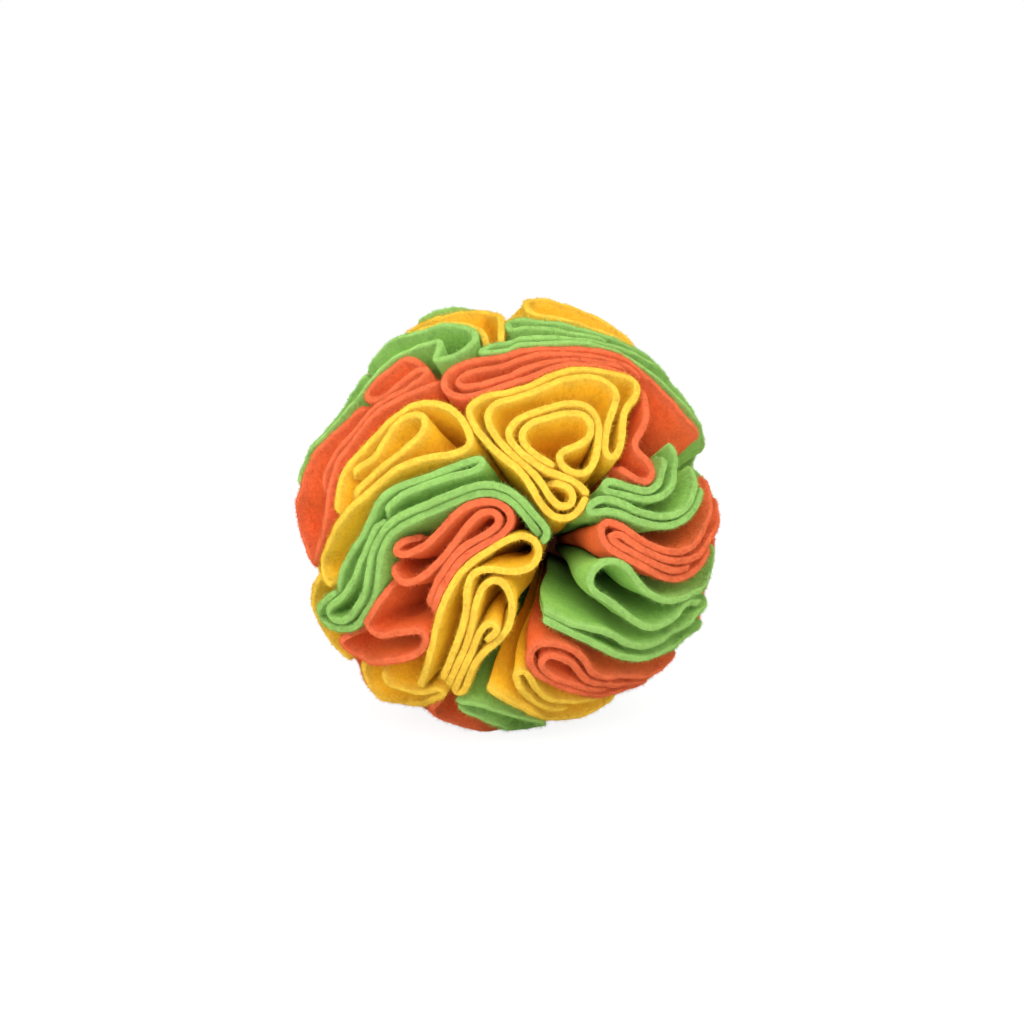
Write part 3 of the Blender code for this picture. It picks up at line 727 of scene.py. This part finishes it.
def curve_through(points, step):
    """A smooth line through the points, with a point about every step."""
    padded = np.vstack([2.0 * points[0] - points[1], points, 2.0 * points[-1] - points[-2]])
    gaps = np.linalg.norm(np.diff(padded, axis=0), axis=1)
    knots = np.sqrt(np.maximum(gaps, least_distance_share * fine_step))
    knots = np.concatenate([[0.0], np.cumsum(knots)])
    pieces = []
    for index in range(1, len(padded) - 2):
        length = np.linalg.norm(padded[index + 1] - padded[index])
        count = max(1, round(length / step))
        t0, t1, t2, t3 = knots[index - 1:index + 3]
        p0, p1, p2, p3 = padded[index - 1:index + 3]
        t = (t1 + (t2 - t1) * np.arange(count) / count)[:, None]
        a1 = ((t1 - t) * p0 + (t - t0) * p1) / (t1 - t0)
        a2 = ((t2 - t) * p1 + (t - t1) * p2) / (t2 - t1)
        a3 = ((t3 - t) * p2 + (t - t2) * p3) / (t3 - t2)
        b1 = ((t2 - t) * a1 + (t - t0) * a2) / (t2 - t0)
        b2 = ((t3 - t) * a2 + (t - t1) * a3) / (t3 - t1)
        pieces.append(((t2 - t) * b1 + (t - t1) * b2) / (t2 - t1))
    pieces.append(points[-1:])
    return np.concatenate(pieces)


def close_pairs(places, owner, travel):
    """Pairs of a point and the start of a segment of another layer that lies near it."""
    tree = kdtree.KDTree(len(places))
    for index, place in enumerate(places):
        tree.insert(place, index)
    tree.balance()
    near = [[hit[1] for hit in tree.find_range(place, search_share * sheet_pitch)] for place in places]
    point = np.repeat(np.arange(len(places)), [len(hits) for hits in near])
    other = np.concatenate([np.array(hits) for hits in near])
    point = np.concatenate([point, point])
    start = np.concatenate([other, other - 1])
    good = (start >= 0) & (start < len(places) - 1)
    point = point[good]
    start = start[good]
    whole = owner[start] == owner[start + 1]
    detour = np.minimum(abs(travel[point] - travel[start]), abs(travel[point] - travel[start + 1]))
    free = whole & ((owner[point] != owner[start]) | (detour > same_layer_share * sheet_pitch))
    code = np.unique(point[free] * len(places) + start[free])
    return code // len(places), code % len(places)


def settled(names, lines):
    """The rims as smooth lines over the ball, with close layers of cloth moved apart to about the pitch."""
    lines = [curve_through(line, rim_step / ball_radius) for line in lines]
    counts = [len(line) for line in lines]
    size_shares = np.repeat([1.0 if name in rims else back_size_share for name in names], counts)
    spots = unit(np.concatenate(lines))
    drawn = spots.copy()
    owner = np.repeat(np.arange(len(lines)), counts)
    places = spots * reach(spots, size_shares)[:, None]
    travel = np.concatenate([[0.0], np.cumsum(np.linalg.norm(np.diff(places, axis=0), axis=1))])
    inner = np.nonzero(owner[2:] == owner[:-2])[0] + 1
    for turn in range(settling_steps):
        if turn % search_steps == 0:
            length = reach(spots, size_shares)[:, None]
            point, start = close_pairs(spots * length, owner, travel)
        places = spots * length
        share = nearest(places[point], places[start], places[start + 1])[:, None]
        gap = places[point] - places[start] - share * (places[start + 1] - places[start])
        distance = np.maximum(np.linalg.norm(gap, axis=1), least_distance_share * sheet_pitch)
        close = distance < sheet_pitch
        share = share[close, 0]
        push = gap[close] * ((overshoot_share * sheet_pitch - distance[close]) / distance[close])[:, None]
        places = pushed_apart(places, point[close], start[close], share, push)
        if turn < settling_steps - free_steps:
            bend = np.zeros_like(places)
            bend[inner] = (places[inner - 1] + places[inner + 1]) / 2.0 - places[inner]
            curl = np.zeros_like(places)
            curl[inner] = (bend[inner - 1] + bend[inner + 1]) / 2.0 - bend[inner]
            places = places - stiffness * curl
        spots = unit(places)
        if turn < anchored_steps:
            spots = unit(spots + anchor_share * (drawn - spots))
    length = reach(spots, size_shares)[:, None]
    return np.split(spots * length, np.cumsum(counts)[:-1])


def stations(line):
    """Places along a rim, closer together in its bends, with the direction of the rim at each."""
    fine = curve_through(line, fine_step)
    step = np.diff(fine, axis=0)
    length = np.linalg.norm(step, axis=1)
    along = step / length[:, None]
    turn = np.zeros(len(length))
    turn[1:] = np.arccos(np.clip(np.sum(along[1:] * along[:-1], axis=1), -1.0, 1.0))
    turn = np.convolve(turn, np.ones(smoothing_points) / smoothing_points, "same")
    cost = np.concatenate([[0.0], np.cumsum(length / straight_step + np.degrees(turn) / bend_step_degrees)])
    count = max(least_stations, math.ceil(cost[-1]))
    wanted = np.linspace(0.0, cost[-1], count + 1)
    travel = np.concatenate([[0.0], np.cumsum(length)])
    at = np.interp(wanted, cost, travel)
    places = np.stack([np.interp(at, travel, fine[:, axis]) for axis in range(3)], axis=1)
    ends = np.vstack([along[:1], along[:-1] + along[1:], along[-1:]])
    heading = unit(np.stack([np.interp(at, travel, ends[:, axis]) for axis in range(3)], axis=1))
    return places, heading, at


def ripple(at, rng, longest):
    """An uneven line: a few waves of random phase along a rim, between about -1 and 1."""
    value = np.zeros(len(at))
    for share in wave_shares:
        value += math.sqrt(share) * np.sin(2.0 * math.pi * (at / (longest * share) + rng.uniform()))
    return value / 2.0


def warped(places, depth):
    """Bend the cloth below the rims with one smooth field for all sheets, so that neighbours bend alike."""
    field = np.zeros_like(places)
    for axis, (one, two, phase) in enumerate(warp_waves):
        ahead = places[:, (axis + 1) % 3]
        aside = places[:, (axis + 2) % 3]
        field[:, axis] = np.sin(one * ahead + phase) * np.cos(two * aside + warp_phase_share * phase)
    fade = np.clip(depth / warp_depth, 0.0, 1.0)
    fade = fade * fade * (3.0 - 2.0 * fade)
    near = np.clip((np.linalg.norm(places - gathering, axis=1) - 2.0 * core_radius) / core_radius, 0.0, 1.0)
    return places + face_warp * (fade * near)[:, None] * field


def end_drop(at, sunk):
    """How far a rim drops towards its two ends, as a rounded corner or down between its neighbours."""
    drop = np.zeros(len(at))
    for way, share in ((at, sunk[0]), (at[-1] - at, sunk[1])):
        depth = corner_depth + share * (sunk_depth - corner_depth)
        length = corner_length + share * (sunk_length - corner_length)
        near = np.clip(1.0 - way / length, 0.0, 1.0)
        drop += depth * (1.0 - np.sqrt(1.0 - near * near))
    return drop


def sheet_rows(places, heading, at, sunk, rng):
    """Points of one leaf: a closed section across the cloth at each station along its rim."""
    length = np.linalg.norm(places, axis=1)
    outward = places / length[:, None]
    falling = np.minimum(outward[:, 2], falling_height)
    floor = np.where(outward[:, 2] < falling_height, -gathering[2] / falling, np.inf)
    lift = rng.uniform(-rim_lift_spread, rim_lift_spread) + rim_lift_ripple * ripple(at, rng, lift_wave)
    lift = rim_lift * lift + rim_ripple * ripple(at, rng, top_wave)
    length = np.minimum(length + lift, floor) - end_drop(at, sunk)
    side = unit(np.cross(heading, outward))
    sideways = rim_ripple * ripple(at, rng, side_wave)
    half = sheet_thickness / 2.0 * (1.0 + thickness_ripple * ripple(at, rng, thickness_wave))
    # rounded ends of the rim
    turns = np.radians(end_turns_degrees)
    which = np.pad(np.arange(len(places)), len(turns), "edge")
    turns = np.concatenate([-turns[::-1], np.zeros(len(places)), turns])
    narrow = np.cos(turns)
    slide = np.sin(turns) * sheet_thickness / 2.0
    outward = outward[which]
    side = side[which]
    heading = heading[which]
    half = half[which] * narrow
    top = length[which] - (1.0 - narrow) * sheet_thickness / 2.0
    tip = core_radius + core_clearance
    way = top - tip
    face = list(zip(row_shares, row_width_shares))
    rows = [(share * way, -width) for share, width in reversed(face)]
    for angle in math.pi * (np.arange(edge_points) + 1.0) / (edge_points + 1.0):
        across = math.copysign(abs(math.cos(angle)) ** edge_squareness, -math.cos(angle))
        rounding = edge_round_share * (1.0 - math.sin(angle) ** edge_squareness)
        rows.append((rounding * sheet_thickness / 2.0 * narrow, across * row_width_shares[0]))
    rows += [(share * way, width) for share, width in face]
    points = []
    depth_rows = []
    for below, width in rows:
        radius = top - below
        shrink = radius / top
        sway = (sideways[which] * shrink)[:, None]
        points.append(outward * radius[:, None] + side * (half * width * shrink)[:, None] + side * sway
                      + heading * (slide * shrink)[:, None])
        depth_rows.append(np.broadcast_to(below, radius.shape))
    return np.stack(points, axis=1), np.stack(depth_rows, axis=1)


def nap_fibres(points, faces, depth, rng):
    """Fine closed fibres on the faces near the rim: their points, three-cornered faces and depths."""
    corners = points[faces]
    one = corners[:, 2] - corners[:, 0]
    two = corners[:, 3] - corners[:, 1]
    outward = np.cross(one, two)
    area = np.linalg.norm(outward, axis=1) / 2.0
    below = depth[faces].mean(axis=1)
    fade = np.clip(1.0 - below / nap_depth, 0.0, 1.0)
    crowd = np.where(below < nap_edge_depth, edge_nap, face_nap * fade)
    count = int(np.sum(area * crowd))
    picked = rng.choice(len(faces), size=count, p=area * crowd / np.sum(area * crowd))
    u, v = rng.uniform(size=(2, count, 1))
    a, b, c, d = np.moveaxis(corners[picked], 1, 0)
    foot = (1.0 - u) * ((1.0 - v) * a + v * d) + u * ((1.0 - v) * b + v * c)
    normal = outward[picked] / np.maximum(2.0 * area[picked], least_area)[:, None]
    lean = unit(normal + nap_lean * rng.normal(size=(count, 3)))
    lean = lean - np.minimum(np.sum(lean * normal, axis=1) - nap_least_rise, 0.0)[:, None] * normal
    length = nap_shortest + (nap_longest - nap_shortest) * rng.uniform(size=(count, 1)) ** nap_shortness
    aside = unit(np.cross(lean, rng.normal(size=(count, 3))))
    third = np.cross(unit(lean), aside)
    foot = foot - 2.0 * nap_radius * normal
    ring = [foot + nap_radius * (math.cos(turn) * aside + math.sin(turn) * third)
            for turn in (0.0, math.tau / 3.0, 2.0 * math.tau / 3.0)]
    fibres = np.stack(ring + [foot + length * unit(lean)], axis=1)
    fibres[:, :, 2] = np.maximum(fibres[:, :, 2], floor_gap)
    first = 4 * np.arange(count)[:, None, None]
    sides = first + np.array([[0, 1, 3], [1, 2, 3], [2, 0, 3], [2, 1, 0]])
    return fibres.reshape(-1, 3), sides.reshape(-1, 3), np.repeat(below[picked], 4)


def placed(name, data):
    """A new object in the scene."""
    made = bpy.data.objects.new(name, data)
    bpy.context.scene.collection.objects.link(made)
    return made


def make_mesh(name, points, faces, depth, rng):
    """A smooth mesh of cloth with its nap, from arrays of points and four-cornered faces."""
    fibres, sides, fibre_depth = nap_fibres(points, faces, depth, rng)
    sides = sides + len(points)
    points = np.concatenate([points, fibres])
    depth = np.concatenate([depth, fibre_depth])
    mesh = bpy.data.meshes.new(name)
    mesh.vertices.add(len(points))
    mesh.vertices.foreach_set("co", points.astype(np.float32).ravel())
    mesh.loops.add(4 * len(faces) + 3 * len(sides))
    mesh.loops.foreach_set("vertex_index", np.concatenate([faces.ravel(), sides.ravel()]).astype(np.int32))
    mesh.polygons.add(len(faces) + len(sides))
    starts = np.concatenate([4 * np.arange(len(faces)), 4 * len(faces) + 3 * np.arange(len(sides))])
    mesh.polygons.foreach_set("loop_start", starts.astype(np.int32))
    mesh.polygons.foreach_set("use_smooth", np.ones(len(starts), bool))
    mesh.update(calc_edges=True)
    mesh.validate()
    below = mesh.attributes.new("depth", "FLOAT", "POINT")
    below.data.foreach_set("value", depth.astype(np.float32).ravel())
    return mesh


def make_leaf(leaf, line, look):
    """One sheet of cloth from its rim down to the core, with its flat width and drop, and its area."""
    name = leaf + "_cloth"
    rng = np.random.default_rng(sum(map(ord, name)) * seed_factor + len(line))
    places, heading, at = stations(line)
    points, depth = sheet_rows(places, heading, at, sunk_end_shares.get(leaf, (0.0, 0.0)), rng)
    count, around = points.shape[:2]
    points = warped(points.reshape(-1, 3) + gathering, depth.ravel())
    points[:, 2] = np.maximum(points[:, 2], floor_gap)
    index = np.arange(count * around).reshape(count, around)
    following = np.roll(index, -1, axis=1)
    sides = np.stack([index[:-1], index[1:], following[1:], following[:-1]], axis=-1).reshape(-1, 4)
    ends = []
    for row, turned in ((index[0], False), (index[-1], True)):
        left = row[:around // 2]
        right = row[::-1][:around // 2]
        cap = np.stack([left[:-1], left[1:], right[1:], right[:-1]], axis=-1)
        if around % 2 == 1:
            cap = np.vstack([cap, [[left[-1], row[around // 2], right[-1], right[-1]]]])
        ends.append(cap[:, ::-1] if turned else cap)
    faces = np.concatenate([sides] + ends)[:, ::-1]
    mesh = make_mesh(name, points, faces, depth.ravel(), rng)
    mesh.materials.append(look)
    steps = np.linalg.norm(np.diff(places, axis=0), axis=1)
    reaches = np.linalg.norm(places, axis=1)
    area = float(np.sum(steps * (reaches[1:] + reaches[:-1]) / 4.0))
    return placed(name, mesh), (float(at[-1]), float(np.mean(reaches))), area


def set_inputs(made, values):
    """Set inputs of a node, each by its name or number."""
    for entry, value in values.items():
        made.inputs[entry].default_value = value


def node(tree, kind, inputs=None, **settings):
    """Add a node, with its settings by attribute and its inputs by name or number."""
    made = tree.nodes.new(kind)
    for key, value in settings.items():
        setattr(made, key, value)
    set_inputs(made, inputs or {})
    return made


def join(tree, source, output, target, entry):
    """Link an output to an input."""
    tree.links.new(source.outputs[output], target.inputs[entry])


def noise(tree, place, output, kind):
    """A noise texture of that scale, detail and roughness, at the places that an output of a node gives."""
    made = node(tree, "ShaderNodeTexNoise", dict(zip(("Scale", "Detail", "Roughness"), kind)))
    join(tree, place, output, made, "Vector")
    return made


def combed(tree, coordinates):
    """Places drawn out along the way from the rims to the gathering, so that noise there runs in streaks."""
    offset = node(tree, "ShaderNodeVectorMath", {1: tuple(gathering)}, operation="SUBTRACT")
    heading = node(tree, "ShaderNodeVectorMath", operation="NORMALIZE")
    around = node(tree, "ShaderNodeVectorMath", {"Scale": ball_radius}, operation="SCALE")
    inward = node(tree, "ShaderNodeVectorMath", {"Scale": combed_share}, operation="SCALE")
    place = node(tree, "ShaderNodeVectorMath", operation="ADD")
    join(tree, coordinates, "Object", offset, 0)
    join(tree, offset, "Vector", heading, 0)
    join(tree, heading, "Vector", around, 0)
    join(tree, coordinates, "Object", inward, 0)
    join(tree, around, "Vector", place, 0)
    join(tree, inward, "Vector", place, 1)
    return place


def scaled(tree, source, output, limits, values):
    """Map a value between the limits to one between the values."""
    entries = ("From Min", "From Max", "To Min", "To Max")
    made = node(tree, "ShaderNodeMapRange", dict(zip(entries, limits + values)))
    join(tree, source, output, made, "Value")
    return made


def mixed(tree, kind, factor, first, second):
    """Mix two colours; each may be a colour or a node with its output, and so may the factor."""
    made = node(tree, "ShaderNodeMix", data_type="RGBA", blend_type=kind)
    for entry, value in ((0, factor), (6, first), (7, second)):
        if isinstance(value, tuple) and isinstance(value[0], bpy.types.Node):
            join(tree, value[0], value[1], made, entry)
        else:
            made.inputs[entry].default_value = value
    return made


def raised(tree, height, output, shader, strength, distance):
    """Bump from a height, joined to the shader."""
    bump = node(tree, "ShaderNodeBump", {"Strength": strength, "Distance": distance})
    join(tree, height, output, bump, "Height")
    join(tree, bump, "Normal", shader, "Normal")


def new_look(name):
    """A material with its node tree and its shader."""
    look = bpy.data.materials.new(name)
    look.use_nodes = True
    return look, look.node_tree, look.node_tree.nodes["Principled BSDF"]


def fleece_material(name, face, rim, fold_shade, core_shade):
    """Brushed fleece: nap, faint mottling, a paler cut edge that is partly painted highlight, and painted
    shade, darker and richer, down in the folds and next to the core.
    """
    look, tree, shader = new_look(name)
    coordinates = node(tree, "ShaderNodeTexCoord")
    depth = node(tree, "ShaderNodeAttribute", attribute_name="depth")
    nap = noise(tree, combed(tree, coordinates), "Vector", nap_noise)
    tuft = noise(tree, coordinates, "Object", tuft_noise)
    cloud = noise(tree, coordinates, "Object", cloud_noise)
    base = face
    # Painted shade down in the folds and darker next to the core, then the paler cut edge with its painted
    # highlight
    for fade, colour in ((fold_shade_fade, fold_shade), (core_shade_fade, core_shade), (edge_highlight_fade, rim)):
        share = scaled(tree, depth, "Fac", fade, (0.0, 1.0))
        base = (mixed(tree, "MIX", (share, "Result"), base, colour), 2)
    for texture, shades in ((tuft, tuft_shades), (cloud, cloud_shades), (nap, nap_shades)):
        shade = scaled(tree, texture, "Fac", noise_limits, shades)
        grey = node(tree, "ShaderNodeCombineColor")
        for entry in ("Red", "Green", "Blue"):
            join(tree, shade, "Result", grey, entry)
        base = (mixed(tree, "MULTIPLY", 1.0, base, (grey, "Color")), 2)
    join(tree, *base, shader, "Base Color")
    height = node(tree, "ShaderNodeMath", {1: nap_height_share}, operation="MULTIPLY_ADD")
    join(tree, nap, "Fac", height, 0)
    join(tree, tuft, "Fac", height, 2)
    raised(tree, height, "Value", shader, *fleece_bump)
    rough = scaled(tree, nap, "Fac", noise_limits, nap_roughness)
    join(tree, rough, "Result", shader, "Roughness")
    set_inputs(shader, {**fleece_surface, "Sheen Tint": face})
    return look


def felt_material():
    """Felt of the core, in a dark orange that is painted shade of the hollow it sits in."""
    look, tree, shader = new_look("core_felt_look")
    coordinates = node(tree, "ShaderNodeTexCoord")
    fibre = noise(tree, coordinates, "Object", felt_noise)
    # Dark felt colours as painted shade, mottled by the fibre noise
    base = mixed(tree, "MIX", (fibre, "Fac"), *felt_shade_colours)
    join(tree, base, 2, shader, "Base Color")
    raised(tree, fibre, "Fac", shader, *felt_bump)
    set_inputs(shader, {"Roughness": felt_roughness})
    return look


def make_core(look):
    """The bundle to which the leaves are sewn: a round of felt bound with thread."""
    around = 2.0 * math.pi * np.arange(core_around) / core_around
    polar = math.pi * (np.arange(core_down) + 0.5) / core_down
    direction = np.stack([
        np.outer(np.sin(polar), np.cos(around)),
        np.outer(np.sin(polar), np.sin(around)),
        np.outer(np.cos(polar), np.ones(core_around)),
    ], axis=-1).reshape(-1, 3)
    turns = np.linspace(0.0, math.pi, core_bindings + 1)[:-1]
    one, two, waves = binding_slants
    bindings = np.stack([np.cos(turns), np.sin(turns) * one, np.sin(waves * turns) * two], axis=1)
    off = np.abs(direction @ unit(bindings).T).min(axis=1)
    radius = core_radius * (felt_share + binding_share * np.exp(-((off / binding_width) ** 2)))
    pole = np.array([[0.0, 0.0, core_radius * pole_share]])
    points = np.vstack([direction * radius[:, None], pole, -pole])
    faces = []
    top = core_down * core_around
    for column in range(core_around):
        after = (column + 1) % core_around
        for low in range(0, top - core_around, core_around):
            faces.append((low + column, low + core_around + column, low + core_around + after, low + after))
        faces.append((top, column, after))
        faces.append((top + 1, top - core_around + after, top - core_around + column))
    mesh = bpy.data.meshes.new("stitched_core_felt")
    mesh.from_pydata([tuple(point + gathering) for point in points], [], faces)
    mesh.polygons.foreach_set("use_smooth", [True] * len(faces))
    mesh.materials.append(look)
    return placed("stitched_core_felt", mesh)


def dress():
    """Make every leaf and the core, each on its body and in place of its solid."""
    looks = {}
    for colour, shades in fleece_looks.items():
        looks[colour] = fleece_material(colour + "_fleece_look", *shades)
    lines = rim_lines()
    names = list(lines)
    pitch = fleece_thickness + leaf_clearance
    for name, line in zip(names, settled(names, spaced(list(lines.values()), pitch))):
        colour = name.split("_")[0]
        piece, flat, area = make_leaf(name, line, looks[colour])
        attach(piece, "root")
        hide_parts(name)
    core = make_core(felt_material())
    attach(core, "root")
    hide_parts("stitched_core")


def camera_blend(tree, share, others, camera_only, target):
    """Show one shader to that share of the camera's rays, and the other to all the rest."""
    rays = node(tree, "ShaderNodeLightPath")
    factor = node(tree, "ShaderNodeMath", {1: share}, operation="MULTIPLY")
    blend = node(tree, "ShaderNodeMixShader")
    join(tree, rays, "Is Camera Ray", factor, 0)
    join(tree, factor, "Value", blend, 0)
    join(tree, others, 0, blend, 1)
    join(tree, camera_only, 0, blend, 2)
    join(tree, blend, "Shader", tree.nodes[target], "Surface")


def make_floor():
    """A white floor that keeps the ball's shadow, and shows white to the camera."""
    mesh = bpy.data.meshes.new("floor")
    corners = ((-1.0, -1.0), (1.0, -1.0), (1.0, 1.0), (-1.0, 1.0))
    mesh.from_pydata([(floor_half * x, floor_half * y, 0.0) for x, y in corners], [], [(0, 1, 2, 3)])
    look, tree, shader = new_look("floor_look")
    set_inputs(shader, {"Base Color": floor_colour, "Roughness": floor_roughness})
    glow = node(tree, "ShaderNodeEmission", {"Color": white, "Strength": floor_glow})
    camera_blend(tree, floor_glow_share, shader, glow, "Material Output")
    mesh.materials.append(look)
    placed("floor", mesh)


def make_lights():
    """Soft white light from all round, with a large lamp above in front and a weaker one at the left."""
    world = bpy.data.worlds.new("studio")
    bpy.context.scene.world = world
    world.use_nodes = True
    tree = world.node_tree
    light = tree.nodes["Background"]
    set_inputs(light, {"Color": white, "Strength": world_strength})
    backdrop = node(tree, "ShaderNodeBackground", {"Color": white, "Strength": 1.0})
    camera_blend(tree, 1.0, light, backdrop, "World Output")
    for name, (place, size, power) in lamps.items():
        lamp = bpy.data.lights.new(name, "AREA")
        lamp.shape = "SQUARE"
        lamp.size = size
        lamp.energy = power
        holder = placed(name, lamp)
        holder.location = place
        aim = Vector(tuple(ball_middle)) - Vector(place)
        holder.rotation_euler = aim.to_track_quat("-Z", "Y").to_euler()


def make_camera():
    """The photograph's view of the ball, from slightly above."""
    camera = bpy.data.cameras.new("camera")
    camera.sensor_width = camera_sensor
    camera.lens = camera_sensor / 2.0 / (view_image / 2.0 * edge_slope / view_ball_radius)
    camera.shift_x = (view_image / 2.0 - view_middle[0]) / view_image
    camera.shift_y = (view_middle[1] - view_image / 2.0) / view_image
    camera.clip_start, camera.clip_end = camera_clips
    holder = placed("camera", camera)
    holder.location = ball_middle + to_viewer * view_distance
    holder.rotation_euler = Vector(tuple(-to_viewer)).to_track_quat("-Z", "Y").to_euler()
    bpy.context.scene.camera = holder


dress()
make_floor()
make_lights()
make_camera()
bpy.context.scene.view_settings.view_transform = "Standard"
